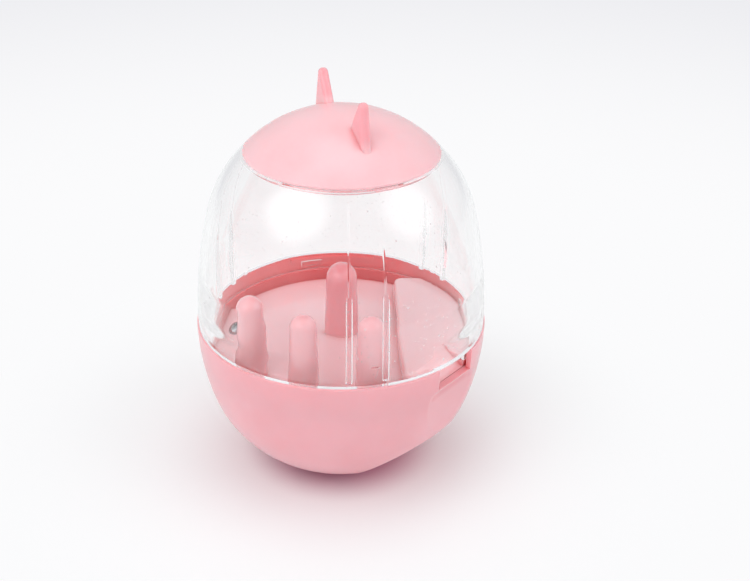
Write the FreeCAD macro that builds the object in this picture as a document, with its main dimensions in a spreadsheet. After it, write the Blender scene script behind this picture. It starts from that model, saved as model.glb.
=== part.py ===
import FreeCAD, Part
import math
import os
import Sketcher
from FreeCAD import Vector

# A wobbling treat dispenser: an egg of three shells round a food tray.
# The floor is z = 0, the egg stands on +Z, and the treat outlet faces -Y.
# Angles about Z count from the outlet, anticlockwise from above.

doc = FreeCAD.newDocument("wobble_treat_dispenser")
sheet = doc.addObject("Spreadsheet::Sheet", "Dims")


# A length or angle with the expression that gives it, so that arithmetic on
# named sizes writes the binding too.
class Size:
    def __init__(self, value, text):
        self.value = value
        self.text = text

    def __add__(self, other):
        return combine(self, "+", other, lambda a, b: a + b)

    def __radd__(self, other):
        return combine(other, "+", self, lambda a, b: a + b)

    def __sub__(self, other):
        return combine(self, "-", other, lambda a, b: a - b)

    def __rsub__(self, other):
        return combine(other, "-", self, lambda a, b: a - b)

    def __mul__(self, other):
        return combine(self, "*", other, lambda a, b: a * b)

    def __rmul__(self, other):
        return combine(other, "*", self, lambda a, b: a * b)

    def __truediv__(self, other):
        return combine(self, "/", other, lambda a, b: a / b)

    def __neg__(self):
        return combine(0, "-", self, lambda a, b: a - b)


def as_size(number):
    return number if isinstance(number, Size) else Size(float(number), repr(float(number)))


def combine(left, sign, right, rule):
    left, right = as_size(left), as_size(right)
    return Size(rule(left.value, right.value), f"({left.text} {sign} {right.text})")


def sine(angle):
    return Size(math.sin(math.radians(angle.value)), f"sin({angle.text})")


def cosine(angle):
    return Size(math.cos(math.radians(angle.value)), f"cos({angle.text})")


# The other short side of a right-angled triangle.
def leg(longest, side):
    longest, side = as_size(longest), as_size(side)
    text = f"sqrt({longest.text} * {longest.text} - {side.text} * {side.text})"
    return Size(math.sqrt(longest.value ** 2 - side.value ** 2), text)


row_count = 0


def dim(alias, value):
    global row_count
    row_count += 1
    sheet.set(f"A{row_count}", alias)
    sheet.set(f"B{row_count}", str(value))
    sheet.setAlias(f"B{row_count}", alias)
    return Size(float(value), f"Dims.{alias}")


# The egg's outline
rim_radius = dim("rim_radius", 45.0)
seam_rise = dim("seam_rise", 4.15)
rim_round = dim("rim_round", 0.5)
flank_radius = dim("base_flank_radius", 74.0)
bowl_offset = dim("bowl_offset", 5.6)
foot_cut = dim("foot_cut", 0.15)
base_wall = dim("base_wall", 2.4)
dome_setback = dim("dome_setback", 0.4)
dome_flank_radius = dim("dome_flank_radius", 150.0)
dome_flank_angle = dim("dome_flank_angle", 14.0)
dome_shoulder_radius = dim("dome_shoulder_radius", 35.7)
dome_wall = dim("dome_wall", 2.1)
lid_radius = dim("lid_radius", 29.8)
lid_crown_radius = dim("lid_crown_radius", 41.0)
lid_wall = dim("lid_wall", 2.2)
seat_gap = dim("seat_gap", 0.1)
ring_gap = dim("ring_gap", 0.25)
seam_height = rim_radius + seam_rise

# The outlet and the flats under it
outlet_width = dim("outlet_width", 16.0)
outlet_depth = dim("outlet_depth", 7.0)
flare_tilt = dim("flare_tilt", 9.0)
flare_depth = dim("flare_depth", 1.3)
crease_tilt = dim("crease_tilt", 28.4)
sill_inset = dim("sill_inset", 1.6)
sill_margin = dim("sill_margin", 4.0)
tip_flat_tilt = dim("tip_flat_tilt", 51.6)
tip_flat_depth = dim("tip_flat_depth", 4.15)
cutter_radius = dim("cutter_radius", 60.0)
cutter_depth = dim("cutter_depth", 30.0)

# The joint between base and dome
rim_wall = dim("rim_wall", 1.8)
catch_reach = dim("catch_reach", 0.6)
catch_height = dim("catch_height", 1.2)
catch_drop = dim("catch_drop", 1.0)
catch_span = dim("catch_span", 40.0)
catch_count = 4
spigot_depth = dim("spigot_depth", 5.0)
spigot_wall = dim("spigot_wall", 1.1)
band_height = dim("band_height", 6.2)
band_step = dim("band_step", 0.25)
lug_height = dim("lug_height", 1.5)
lug_span = dim("lug_span", 10.0)
lug_turn = dim("lug_turn", 55.0)

# The dome's ribs and its pointer
rib_width = dim("rib_width", 1.8)
rib_depth = dim("rib_depth", 1.3)
rib_height = dim("rib_height", 27.0)
rib_lift = dim("rib_lift", 0.5)
rib_edge_round = dim("rib_edge_round", 0.45)
ridge_height = dim("ridge_height", 50.5)
ridge_rise = dim("ridge_rise", 0.35)
rib_pair_turn = dim("rib_pair_turn", -39.5)
rib_pair_angle = dim("rib_pair_angle", 14.5)
rib_pair_count = 3
pointer_width = dim("pointer_width", 2.2)
pointer_height = dim("pointer_height", 3.4)
pointer_lift = dim("pointer_lift", 3.3)
pointer_rise = dim("pointer_rise", 0.3)
pointer_turn = dim("pointer_turn", -37.5)

# The mouth and the lid
mouth_ledge = dim("mouth_ledge", 3.8)
collar_wall = dim("collar_wall", 1.8)
collar_depth = dim("collar_depth", 2.0)
mouth_catch_reach = dim("mouth_catch_reach", 0.9)
mouth_catch_height = dim("mouth_catch_height", 1.1)
mouth_catch_drop = dim("mouth_catch_drop", 0.6)
mouth_catch_span = dim("mouth_catch_span", 60.0)
mouth_catch_count = 3
neck_depth = dim("neck_depth", 3.5)
neck_wall = dim("neck_wall", 2.0)
neck_lug_height = dim("neck_lug_height", 1.2)
neck_lug_span = dim("neck_lug_span", 16.0)
lid_turn = dim("lid_turn", -120.0)
lid_edge_round = dim("lid_edge_round", 0.5)
ear_foot_out = dim("ear_foot_out", 21.5)
ear_foot_in = dim("ear_foot_in", 9.5)
ear_tip_place = dim("ear_tip_place", 16.9)
ear_rise = dim("ear_rise", 11.1)
ear_tip_round = dim("ear_tip_round", 1.4)
ear_thickness = dim("ear_thickness", 2.9)
ear_edge_round = dim("ear_edge_round", 1.25)
ear_root = dim("ear_root", 1.3)

# The food tray
tray_floor_drop = dim("tray_floor_drop", 9.0)
tray_thickness = dim("tray_thickness", 2.0)
step_drop = dim("step_drop", 3.5)
step_turn = dim("step_turn", 40.3)
step_depth = dim("step_depth", 23.1)
step_end_inset = dim("step_end_inset", 9.5)
step_corner = dim("step_corner", 3.0)
step_wall = dim("step_wall", 1.6)
step_edge_round = dim("step_edge_round", 1.2)
ramp_length = dim("ramp_length", 6.5)
post_radius = dim("post_radius", 3.8)
centre_post_radius = dim("centre_post_radius", 4.75)
post_flare = dim("post_flare", 0.85)
post_top = dim("post_top", 17.2)
post_wall = dim("post_wall", 1.7)
post_inset = dim("post_inset", 7.0)
post_turn = dim("post_turn", -35.5)
post_spacing = dim("post_spacing", 32.7)
post_count = 3

# The weight and its cover
seat_height = dim("seat_height", 6.3)
seat_ring_inset = dim("seat_ring_inset", 2.5)
seat_ring_wall = dim("seat_ring_wall", 2.0)
weight_height = dim("weight_height", 14.0)
weight_side_gap = dim("weight_side_gap", 0.8)
weight_flat_gap = dim("weight_flat_gap", 1.1)
cover_flat_gap = dim("cover_flat_gap", 3.3)
cover_thickness = dim("cover_thickness", 2.0)
cover_screw_inset = dim("cover_screw_inset", 2.9)
cover_boss_radius = dim("cover_boss_radius", 2.8)
cover_screw_turns = (60.0, 180.0, 300.0)

# The screws, and what holds the tray up
tray_screw_inset = dim("tray_screw_inset", 5.5)
tray_boss_radius = dim("tray_boss_radius", 3.0)
tray_screw_turns = (-51.85, 130.0, 220.0)
screw_radius = dim("screw_radius", 1.2)
screw_length = dim("screw_length", 8.0)
screw_head_radius = dim("screw_head_radius", 2.3)
screw_head_height = dim("screw_head_height", 1.4)
screw_slot_length = dim("screw_slot_length", 3.0)
screw_slot_width = dim("screw_slot_width", 0.7)
screw_slot_depth = dim("screw_slot_depth", 0.7)
screw_gap = dim("screw_gap", 0.05)
screw_hole_spare = dim("screw_hole_spare", 1.0)
prop_depth = dim("prop_depth", 3.8)
prop_thickness = dim("prop_thickness", 1.6)
prop_turns = (30.0, 90.0, 150.0, 200.0, 270.0, 330.0)
outlet_bearing = -90.0

# Places that follow from the sizes above
flank_centre = (rim_radius - flank_radius, seam_height - rim_round)
flank_run = bowl_offset - flank_centre[0]
flank_rise = flank_centre[1] + foot_cut
bowl_radius = ((flank_radius * flank_radius - flank_rise * flank_rise - flank_run * flank_run)
               / (2 * (flank_radius - flank_rise)))
bowl_centre = (bowl_offset, bowl_radius - foot_cut)
tangent_across = flank_run / (flank_radius - bowl_radius)
tangent_down = (flank_rise - bowl_radius) / (flank_radius - bowl_radius)
tip_flat_reach = (bowl_offset * cosine(tip_flat_tilt)
                  + (seam_height - bowl_centre[1]) * sine(tip_flat_tilt)
                  + bowl_radius - tip_flat_depth)
flare_reach = flank_centre[0] * cosine(flare_tilt) + flank_radius - flare_depth
dome_centre = (rim_radius - dome_setback - dome_flank_radius, seam_height)
shoulder_shift = dome_flank_radius - dome_shoulder_radius
shoulder_centre = (
    dome_centre[0] + shoulder_shift * cosine(dome_flank_angle),
    dome_centre[1] + shoulder_shift * sine(dome_flank_angle),
)
dome_top = shoulder_centre[1] + leg(dome_shoulder_radius, lid_radius - shoulder_centre[0])
lid_base = dome_top + seat_gap
crown_centre = lid_base - leg(lid_crown_radius, lid_radius)
bore_radius = rim_radius - rim_wall
catch_radius = bore_radius - catch_reach
spigot_radius = catch_radius - ring_gap
spigot_inner = spigot_radius - spigot_wall
lug_radius = bore_radius - ring_gap
rib_radius = spigot_inner - rib_depth
mouth_radius = lid_radius - mouth_ledge
mouth_catch_radius = mouth_radius - mouth_catch_reach
neck_radius = mouth_catch_radius - ring_gap
tray_radius = bore_radius - ring_gap
tray_floor = seam_height - tray_floor_drop
tray_underside = tray_floor - tray_thickness
tray_rim = seam_height - spigot_depth - ring_gap
step_top = seam_height - step_drop
step_radius = spigot_inner - ring_gap
step_side = step_radius - step_depth
step_half_length = step_radius - step_end_inset
ramp_start = step_radius - ramp_length
post_circle = step_radius - post_inset
tray_screw_circle = step_radius - tray_screw_inset
prop_inner_radius = bore_radius - prop_depth
outlet_sill = seam_height - outlet_depth
sill_reach = bore_radius - sill_inset
cover_underside = seat_height + weight_height
cover_top = cover_underside + cover_thickness


# How far the inside of the tip flat stands from the axis at a height
def flat_reach_at(height):
    across = tip_flat_reach - base_wall - (seam_height - height) * sine(tip_flat_tilt)
    return across / cosine(tip_flat_tilt)


cover_radius = flat_reach_at(cover_underside) - cover_flat_gap
cover_screw_circle = cover_radius - cover_screw_inset
weight_radius = cover_screw_circle - cover_boss_radius - weight_side_gap
weight_foot_radius = flat_reach_at(seat_height) - weight_flat_gap
weight_bevel = ((weight_radius - weight_foot_radius)
                * cosine(tip_flat_tilt) / sine(tip_flat_tilt))
seat_ring_radius = weight_foot_radius - seat_ring_inset
through = dim("through", 60.0)


def bind(item, **sizes):
    for name, size in sizes.items():
        item.setExpression(name, as_size(size).text)


def place(item, x=0, y=0, z=0, axis=Vector(0, 0, 1), angle=0):
    item.Placement = FreeCAD.Placement(Vector(), FreeCAD.Rotation(axis, as_size(angle).value))
    for name, size in (("x", x), ("y", y), ("z", z)):
        item.setExpression(f"Placement.Base.{name}", as_size(size).text)
    item.setExpression("Placement.Rotation.Angle", as_size(angle).text)
    return item


def cylinder(name, radius, bottom, height, x=0, y=0, span=360, turn=0):
    item = doc.addObject("Part::Cylinder", name)
    bind(item, Radius=radius, Height=height, Angle=span)
    return place(item, x, y, bottom, angle=turn)


def fuse(name, *items):
    item = doc.addObject("Part::MultiFuse", name)
    item.Shapes = list(items)
    return item


def cut(name, base, tool):
    item = doc.addObject("Part::Cut", name)
    item.Base = base
    item.Tool = tool
    return item


def common(name, *items):
    item = doc.addObject("Part::MultiCommon", name)
    item.Shapes = list(items)
    return item


# A point at a distance from the axis, at an angle from the outlet
def polar(distance, turn):
    turn = as_size(turn)
    return distance * sine(turn), -(distance * cosine(turn))


# A closed outline. Each vertex is (across, up) or (across, up, centre), where
# the centre makes the edge that leaves the vertex an arc round it.
def outline(body, name, plane, vertices):
    sketch = body.newObject("Sketcher::SketchObject", name)
    origin = [f for f in body.Origin.OriginFeatures if f.Role == plane][0]
    sketch.AttachmentSupport = [(origin, "")]
    sketch.MapMode = "FlatFace"
    corners = [tuple(as_size(size) for size in vertex[:2]) for vertex in vertices]
    starts = []
    for i, vertex in enumerate(vertices):
        first = Vector(*(size.value for size in corners[i]), 0)
        last = Vector(*(size.value for size in corners[(i + 1) % len(corners)]), 0)
        if len(vertex) == 2:
            sketch.addGeometry(Part.LineSegment(first, last))
            starts.append(1)
            continue
        middle = Vector(*(as_size(size).value for size in vertex[2]), 0)
        forward = (first - middle).cross(last - middle).z > 0
        ends = (first, last) if forward else (last, first)
        angles = [math.atan2(end.y - middle.y, end.x - middle.x) for end in ends]
        circle = Part.Circle(middle, Vector(0, 0, 1), (first - middle).Length)
        sketch.addGeometry(Part.ArcOfCircle(circle, *angles))
        starts.append(1 if forward else 2)
    for i, corner in enumerate(corners):
        before = i - 1 if i else len(corners) - 1
        sketch.addConstraint(Sketcher.Constraint(
            "Coincident", before, 3 - starts[before], i, starts[i]))
        for kind, axis, size in (("DistanceX", -2, corner[0]), ("DistanceY", -1, corner[1])):
            if abs(size.value) < 1e-9:
                sketch.addConstraint(Sketcher.Constraint("PointOnObject", i, starts[i], axis))
                continue
            pin = sketch.addConstraint(Sketcher.Constraint(
                kind, -1, 1, i, starts[i], size.value))
            sketch.setExpression(f"Constraints[{pin}]", size.text)
        if len(vertices[i]) == 3:
            across, up = (as_size(size) for size in vertices[i][2])
            radius = math.hypot(corner[0].value - across.value, corner[1].value - up.value)
            arc = sketch.addConstraint(Sketcher.Constraint("Radius", i, radius))
            run, rise = corner[0] - across, corner[1] - up
            sketch.setExpression(
                f"Constraints[{arc}]",
                f"sqrt({run.text} * {run.text} + {rise.text} * {rise.text})")
    return sketch


def turned(name, vertices):
    body = doc.addObject("PartDesign::Body", name)
    sketch = outline(body, name + "_outline", "XZ_Plane", vertices)
    feature = body.newObject("PartDesign::Revolution", name + "_turn")
    feature.Profile = sketch
    feature.ReferenceAxis = (sketch, ["V_Axis"])
    feature.Angle = 360.0
    body.Tip = feature
    return body


def padded(name, plane, vertices, length, both_ways=False):
    body = doc.addObject("PartDesign::Body", name)
    sketch = outline(body, name + "_outline", plane, vertices)
    feature = body.newObject("PartDesign::Pad", name + "_pad")
    feature.Profile = sketch
    feature.Midplane = both_ways
    bind(feature, Length=length)
    body.Tip = feature
    return body


def bar(name, width, near, far, bottom, height, turn):
    item = doc.addObject("Part::Box", name)
    bind(item, Length=width, Width=far - near, Height=height)
    turn = as_size(turn) + 180
    x = near * -sine(turn) - width / 2 * cosine(turn)
    y = near * cosine(turn) - width / 2 * sine(turn)
    return place(item, x, y, bottom, angle=turn)


def ring_part(name, inner, outer, bottom, height, middle, span):
    start = as_size(middle) - span / 2 + outlet_bearing
    whole = cylinder(name + "_whole", outer, bottom, height, span=span, turn=start)
    core = cylinder(name + "_core", inner, bottom, height)
    return cut(name, whole, core)


def rounded(name, base, radius, wanted):
    doc.recompute()
    item = doc.addObject("Part::Fillet", name)
    item.Base = base
    size = as_size(radius).value
    item.Edges = [(i + 1, size, size) for i, edge in enumerate(base.Shape.Edges) if wanted(edge)]
    return item


def rim_edge(edge, radius, height):
    flat = edge.BoundBox.ZLength < 1e-3 and abs(edge.BoundBox.ZMax - height.value) < 1e-3
    return flat and abs(edge.BoundBox.XMax - radius.value) < 0.05


# A flat cutter's end face stands at a distance from the middle of the seam,
# on the outlet side, tilted down by an angle.
def flat_cutter(name, tilt, reach):
    item = doc.addObject("Part::Cylinder", name)
    bind(item, Radius=cutter_radius, Height=cutter_depth)
    y = -(reach * cosine(tilt))
    z = seam_height - reach * sine(tilt)
    return place(item, 0, y, z, axis=Vector(1, 0, 0), angle=90 + tilt)


# Base shell: a turned bowl, the outlet notch and the flats on its outside,
# and inside it the weight's seat, the bosses and the props for the tray.
def base_outline(inset, top):
    r_flank = flank_radius - inset
    r_bowl = bowl_radius - inset
    joint = (
        bowl_centre[0] + r_bowl * tangent_across,
        bowl_centre[1] - r_bowl * tangent_down,
    )
    rim = (flank_centre[0] + leg(r_flank, flank_centre[1] - top), top)
    foot = (bowl_centre[0] + leg(r_bowl, bowl_centre[1] - inset), inset)
    return [(0, inset), (*foot, bowl_centre), (*joint, flank_centre), rim, (0, top)]


def make_base_shell():
    body = base_outline(as_size(0), flank_centre[1])
    round_centre = (rim_radius - rim_round, flank_centre[1])
    body[3:] = [(rim_radius, flank_centre[1], round_centre), (round_centre[0], seam_height),
                (0, seam_height)]
    outside = turned("base_outside", body)
    hollow = cut("base_hollow_cut", turned("base_hollow", base_outline(base_wall, tray_underside)),
                 fuse("flats_inside",
                      flat_cutter("flare_inside", flare_tilt, flare_reach - base_wall),
                      flat_cutter("tip_flat_inside", tip_flat_tilt, tip_flat_reach - base_wall)))

    keep = [cut("weight_seat",
                cylinder("seat_whole", seat_ring_radius, 0, seat_height),
                cylinder("seat_core", seat_ring_radius - seat_ring_wall, 0, seat_height))]
    for i, turn in enumerate(cover_screw_turns):
        keep.append(screw_boss(f"cover_boss_{i}", cover_screw_circle, turn, cover_boss_radius,
                               cover_underside, cover_thickness))
    for i, turn in enumerate(tray_screw_turns):
        keep.append(screw_boss(f"tray_boss_{i}", tray_screw_circle, turn, tray_boss_radius,
                               tray_underside, tray_thickness))
    for i, turn in enumerate(prop_turns):
        keep.append(bar(f"tray_prop_{i}", prop_thickness, prop_inner_radius, rim_radius, 0,
                        tray_underside, turn))
    hollow = cut("base_space", hollow, fuse("base_inside_parts", *keep))

    bore = cut("base_bore", cylinder("bore_whole", bore_radius, tray_underside, through),
               bar("sill_block", outlet_width + sill_margin * 2, sill_reach, through,
                   tray_underside, outlet_sill - tray_underside, 0))
    notch = bar("outlet_notch", outlet_width, ramp_start, through, outlet_sill, through, 0)
    corner_reach = leg(flank_centre[0] + leg(flank_radius, outlet_depth), outlet_width / 2)
    crease_reach = corner_reach * cosine(crease_tilt) + outlet_depth * sine(crease_tilt)
    flare = common("flare", flat_cutter("flare_face", flare_tilt, flare_reach),
                   flat_cutter("flare_crease", crease_tilt, crease_reach))
    cuts = fuse("base_cuts", bore, notch, flare,
                flat_cutter("tip_flat", tip_flat_tilt, tip_flat_reach))
    shell = cut("base_cut", cut("base_bowl", outside, hollow), cuts)
    catches = [
        ring_part(f"catch_{i}", catch_radius, bore_radius + rim_round,
                  seam_height - catch_drop - catch_height, catch_height,
                  45 + i * 360 / catch_count, catch_span)
        for i in range(catch_count)
    ]
    return fuse("base_shell", shell, *catches)


def screw_boss(name, circle, turn, radius, top, plate):
    x, y = polar(circle, turn)
    hole_depth = screw_length - plate + screw_hole_spare
    post = cylinder(name + "_post", radius, 0, top, x, y)
    hole = cylinder(name + "_hole", screw_radius + screw_gap, top - hole_depth, hole_depth, x, y)
    return cut(name, post, hole)


# Screws of one kind, as separate solids in one piece
def make_screws(name, circle, turns, seat):
    screws = []
    for i, turn in enumerate(turns):
        x, y = polar(circle, turn)
        shank = cylinder(f"{name}_shank_{i}", screw_radius, seat - screw_length, screw_length, x, y)
        head = cylinder(f"{name}_head_{i}", screw_head_radius, seat, screw_head_height, x, y)
        slots = []
        for side in ("x", "y"):
            sizes = (screw_slot_length, screw_slot_width)
            length, width = sizes if side == "x" else reversed(sizes)
            slot = doc.addObject("Part::Box", f"{name}_slot_{i}_{side}")
            bind(slot, Length=length, Width=width, Height=screw_head_height)
            slots.append(place(slot, x - length / 2, y - width / 2,
                               seat + screw_head_height - screw_slot_depth))
        blank = fuse(f"{name}_blank_{i}", shank, head)
        screws.append(cut(f"{name}_{i}", blank, fuse(f"{name}_cross_{i}", *slots)))
    group = doc.addObject("Part::Compound", name)
    group.Links = screws
    return group


def make_counterweight():
    low = seat_height
    high = seat_height + weight_height
    return turned("counterweight", [
        (0, low), (weight_foot_radius, low), (weight_radius, low + weight_bevel),
        (weight_radius, high), (0, high)])


def make_weight_cover():
    plate = cylinder("cover_plate", cover_radius, cover_underside, cover_thickness)
    holes = []
    for i, turn in enumerate(cover_screw_turns):
        x, y = polar(cover_screw_circle, turn)
        holes.append(cylinder(f"cover_hole_{i}", screw_radius + screw_gap, cover_underside,
                              cover_thickness, x, y))
    return cut("weight_cover", plate, fuse("cover_holes", *holes))


# Food tray: a dish with a raised step beside the outlet, a ramp down to the
# outlet's sill, and four round posts that keep the treats from packing.
def step_outline(inset):
    corner = step_corner - inset
    side = step_side + inset
    end = step_half_length - inset
    wall = step_radius - inset
    centre = (side + corner, end - corner)
    return [
        (centre[0], -end), (leg(wall, end), -end, (0, 0)), (leg(wall, end), end),
        (centre[0], end, centre), (side, centre[1]),
        (side, -centre[1], (centre[0], -centre[1]))]


def step_block(name, inset, height):
    block = padded(name, "XY_Plane", step_outline(as_size(inset)), height)
    return place(block, z=tray_underside, angle=step_turn - 90)


# The step's top edges, but not the one along the dish's wall
def is_step_edge(edge):
    along_wall = isinstance(edge.Curve, Part.Circle) and edge.Curve.Radius > step_side.value
    return edge.BoundBox.ZMin > step_top.value - 1e-3 and not along_wall


def make_post(name, radius, turn, circle):
    x, y = polar(circle, turn)
    foot = radius + post_flare
    top = seam_height + post_top - radius
    stem = doc.addObject("Part::Cone", name + "_stem")
    bind(stem, Radius1=foot, Radius2=radius, Height=top - tray_underside)
    place(stem, x, y, tray_underside)
    tip = doc.addObject("Part::Sphere", name + "_tip")
    bind(tip, Radius=radius)
    place(tip, x, y, top)
    core = doc.addObject("Part::Cone", name + "_core")
    bind(core, Radius1=foot - post_wall, Radius2=radius - post_wall, Height=top - tray_underside)
    place(core, x, y, tray_underside)
    return fuse(name, stem, tip), core


def make_inner_tray():
    dish = turned("tray_dish", [
        (0, tray_underside), (tray_radius, tray_underside), (tray_radius, tray_rim),
        (step_radius, tray_rim), (step_radius, tray_floor), (0, tray_floor)])
    step_height = step_top - tray_underside
    step = rounded("tray_step", step_block("step_whole", 0, step_height), step_edge_round,
                   is_step_edge)
    lining = bar("chute_lining", outlet_width + step_wall * 2, ramp_start - step_wall, through,
                 tray_underside, step_height, 0)
    lining = common("chute_block", lining,
                    cylinder("chute_limit", step_radius, tray_underside, step_height))
    under = cut("step_under", step_block("step_hollow", step_wall, step_height - step_wall),
                lining)
    chute = padded("chute", "YZ_Plane", [
        (-ramp_start, step_top), (-sill_reach + ring_gap, outlet_sill), (-through, outlet_sill),
        (-through, seam_height), (-ramp_start, seam_height)], outlet_width, both_ways=True)
    sill_space = bar("sill_space", outlet_width + (sill_margin + ring_gap) * 2,
                     sill_reach - ring_gap, through, tray_underside, through, 0)
    posts = [make_post("centre_post", centre_post_radius, 0, as_size(0))]
    for i in range(post_count):
        posts.append(make_post(f"post_{i}", post_radius, post_turn - i * post_spacing, post_circle))
    holes = []
    for i, turn in enumerate(tray_screw_turns):
        x, y = polar(tray_screw_circle, turn)
        holes.append(cylinder(f"tray_hole_{i}", screw_radius + screw_gap, tray_underside,
                              tray_floor - tray_underside, x, y))
    solid = fuse("tray_solid", dish, step, lining, *(post for post, core in posts))
    spaces = fuse("tray_spaces", under, chute, sill_space, *(core for post, core in posts),
                  *holes)
    return cut("inner_tray", solid, spaces)


# Clear dome: two tangent arcs outside and inside, a spigot that turns in the
# base, and a collar for the lid's neck.
def dome_arc_points(inset, low_height):
    r_flank = dome_flank_radius - inset
    r_shoulder = dome_shoulder_radius - inset
    low = (dome_centre[0] + leg(r_flank, low_height), dome_centre[1] + low_height)
    joint = (
        shoulder_centre[0] + r_shoulder * cosine(dome_flank_angle),
        shoulder_centre[1] + r_shoulder * sine(dome_flank_angle),
    )
    return low, joint


def dome_shoulder_height(inset, radius):
    return shoulder_centre[1] + leg(dome_shoulder_radius - inset, radius - shoulder_centre[0])


def make_dome_ribs():
    low, joint = dome_arc_points(dome_wall + ridge_rise, rib_height)
    top_radius = mouth_radius
    core = turned("rib_core", [
        (0, seam_height), (rib_radius, seam_height), (rib_radius, low[1]), (*low, dome_centre),
        (*joint, shoulder_centre),
        (top_radius, dome_shoulder_height(dome_wall + ridge_rise, top_radius)),
        (0, dome_shoulder_height(dome_wall + ridge_rise, top_radius))])
    embed = dome_wall / 2
    low, joint = dome_arc_points(embed, as_size(0))
    skin = turned("rib_skin", [
        (0, seam_height), (*low, dome_centre), (*joint, shoulder_centre),
        (lid_radius, dome_shoulder_height(embed, lid_radius)),
        (0, dome_shoulder_height(embed, lid_radius))])
    bars = []
    for pair in range(rib_pair_count):
        for side in (-0.5, 0.5):
            turn = rib_pair_turn + pair * 360 / rib_pair_count + side * rib_pair_angle
            bars.append(bar(f"rib_{pair}_{'a' if side < 0 else 'b'}", rib_width, mouth_radius,
                            through, seam_height + rib_lift, ridge_height - rib_lift, turn))
    ribs = cut("rib_shapes", common("rib_bars", fuse("rib_set", *bars), skin), core)
    return rounded("dome_ribs", ribs, rib_edge_round, is_rib_edge)


# The long edges of the ribs' deep part, which stand on the ribs' inner radius.
def is_rib_edge(edge):
    box = edge.BoundBox
    reach = math.hypot((box.XMin + box.XMax) / 2, (box.YMin + box.YMax) / 2)
    return box.ZLength > rib_height.value / 2 and abs(reach - rib_radius.value) < rib_width.value / 8


def make_pointer():
    top = seam_height + pointer_lift + pointer_height
    half = pointer_width / 2
    item = padded("pointer", "XZ_Plane", [
        (-half, top), (0, seam_height + pointer_lift), (half, top)],
        rim_radius - dome_setback + pointer_rise)
    return item


def make_clear_dome():
    foot = seam_height + seat_gap
    low, joint = dome_arc_points(as_size(0), seat_gap)
    inner_low_radius = spigot_inner + band_step
    inner_low = (inner_low_radius, dome_centre[1]
                 + leg(dome_flank_radius - dome_wall, inner_low_radius - dome_centre[0]))
    inner_joint = dome_arc_points(dome_wall, as_size(0))[1]
    collar_outer = mouth_radius + collar_wall
    collar_foot = dome_top - collar_depth
    band_top = seam_height + band_height
    spigot_foot = seam_height - spigot_depth
    shell = turned("dome_shell", [
        (low[0], foot, dome_centre), (*joint, shoulder_centre), (lid_radius, dome_top),
        (mouth_radius, dome_top), (mouth_radius, collar_foot), (collar_outer, collar_foot),
        (collar_outer, dome_shoulder_height(dome_wall, collar_outer), shoulder_centre),
        (*inner_joint, dome_centre), inner_low, (inner_low_radius, band_top),
        (spigot_inner, band_top), (spigot_inner, spigot_foot), (spigot_radius, spigot_foot),
        (spigot_radius, foot)])
    window = bar("spigot_window", outlet_width + ring_gap * 2, mouth_radius, through,
                 spigot_foot - ring_gap, spigot_depth + ring_gap + seat_gap, 0)
    parts = [cut("dome_windowed", shell, window), make_dome_ribs()]
    for i in range(catch_count):
        parts.append(ring_part(
            f"dome_lug_{i}", spigot_radius - spigot_wall / 2, lug_radius,
            seam_height - catch_drop - catch_height - ring_gap - lug_height, lug_height,
            lug_turn + i * 360 / catch_count, lug_span))
    for i in range(mouth_catch_count):
        parts.append(ring_part(
            f"mouth_catch_{i}", mouth_catch_radius, mouth_radius + collar_wall / 2,
            dome_top - mouth_catch_drop - mouth_catch_height, mouth_catch_height,
            lid_turn + (i + 0.5) * 360 / mouth_catch_count, mouth_catch_span))
    spread = turned("pointer_space", [
        (0, seam_height), (rim_radius - dome_setback * 2, seam_height),
        (rim_radius - dome_setback * 2, seam_height + band_height * 2),
        (0, seam_height + band_height * 2)])
    pointer = cut("dome_pointer", place(make_pointer(), angle=pointer_turn), spread)
    return fuse("clear_dome", *parts, pointer)


# Lid: a spherical cap with two ears on it and a lugged neck under it.
def ear_outline():
    foot = (ear_foot_out, crown_centre + leg(lid_crown_radius, ear_foot_out) - ear_root)
    heel = (ear_foot_in, crown_centre + leg(lid_crown_radius, ear_foot_in) - ear_root)
    tip_centre = (ear_tip_place, crown_centre + leg(lid_crown_radius, ear_tip_place)
                  + ear_rise - ear_tip_round)
    return foot, heel, tip_centre


# Where a line from a point just touches a circle, on its left or right
def touch_point(point, centre, radius, side):
    run, rise = centre[0] - point[0], centre[1] - point[1]
    square = run * run + rise * rise
    reach = Size(math.sqrt(square.value - radius.value ** 2),
                 f"sqrt({square.text} - {radius.text} * {radius.text})")
    share = reach / square
    across = share * reach
    turn = share * radius * side
    return point[0] + run * across - rise * turn, point[1] + rise * across + run * turn


def make_ear(name, side):
    foot, heel, tip_centre = ear_outline()
    outer = touch_point(foot, tip_centre, ear_tip_round, -1)
    inner = touch_point(heel, tip_centre, ear_tip_round, 1)
    path = [foot, (*outer, tip_centre), inner, heel]
    if side < 0:
        path = [(-vertex[0], vertex[1], *(((-tip_centre[0], tip_centre[1]),)
                                          if len(vertex) == 3 else ())) for vertex in path]
    plate = padded(name + "_plate", "XZ_Plane", path, ear_thickness, both_ways=True)
    tip_foot = tip_centre[1].value - ear_tip_round.value
    return rounded(name, plate, ear_edge_round,
                   lambda edge: edge.BoundBox.YLength < 1e-3 and edge.BoundBox.ZMax > tip_foot)


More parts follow.
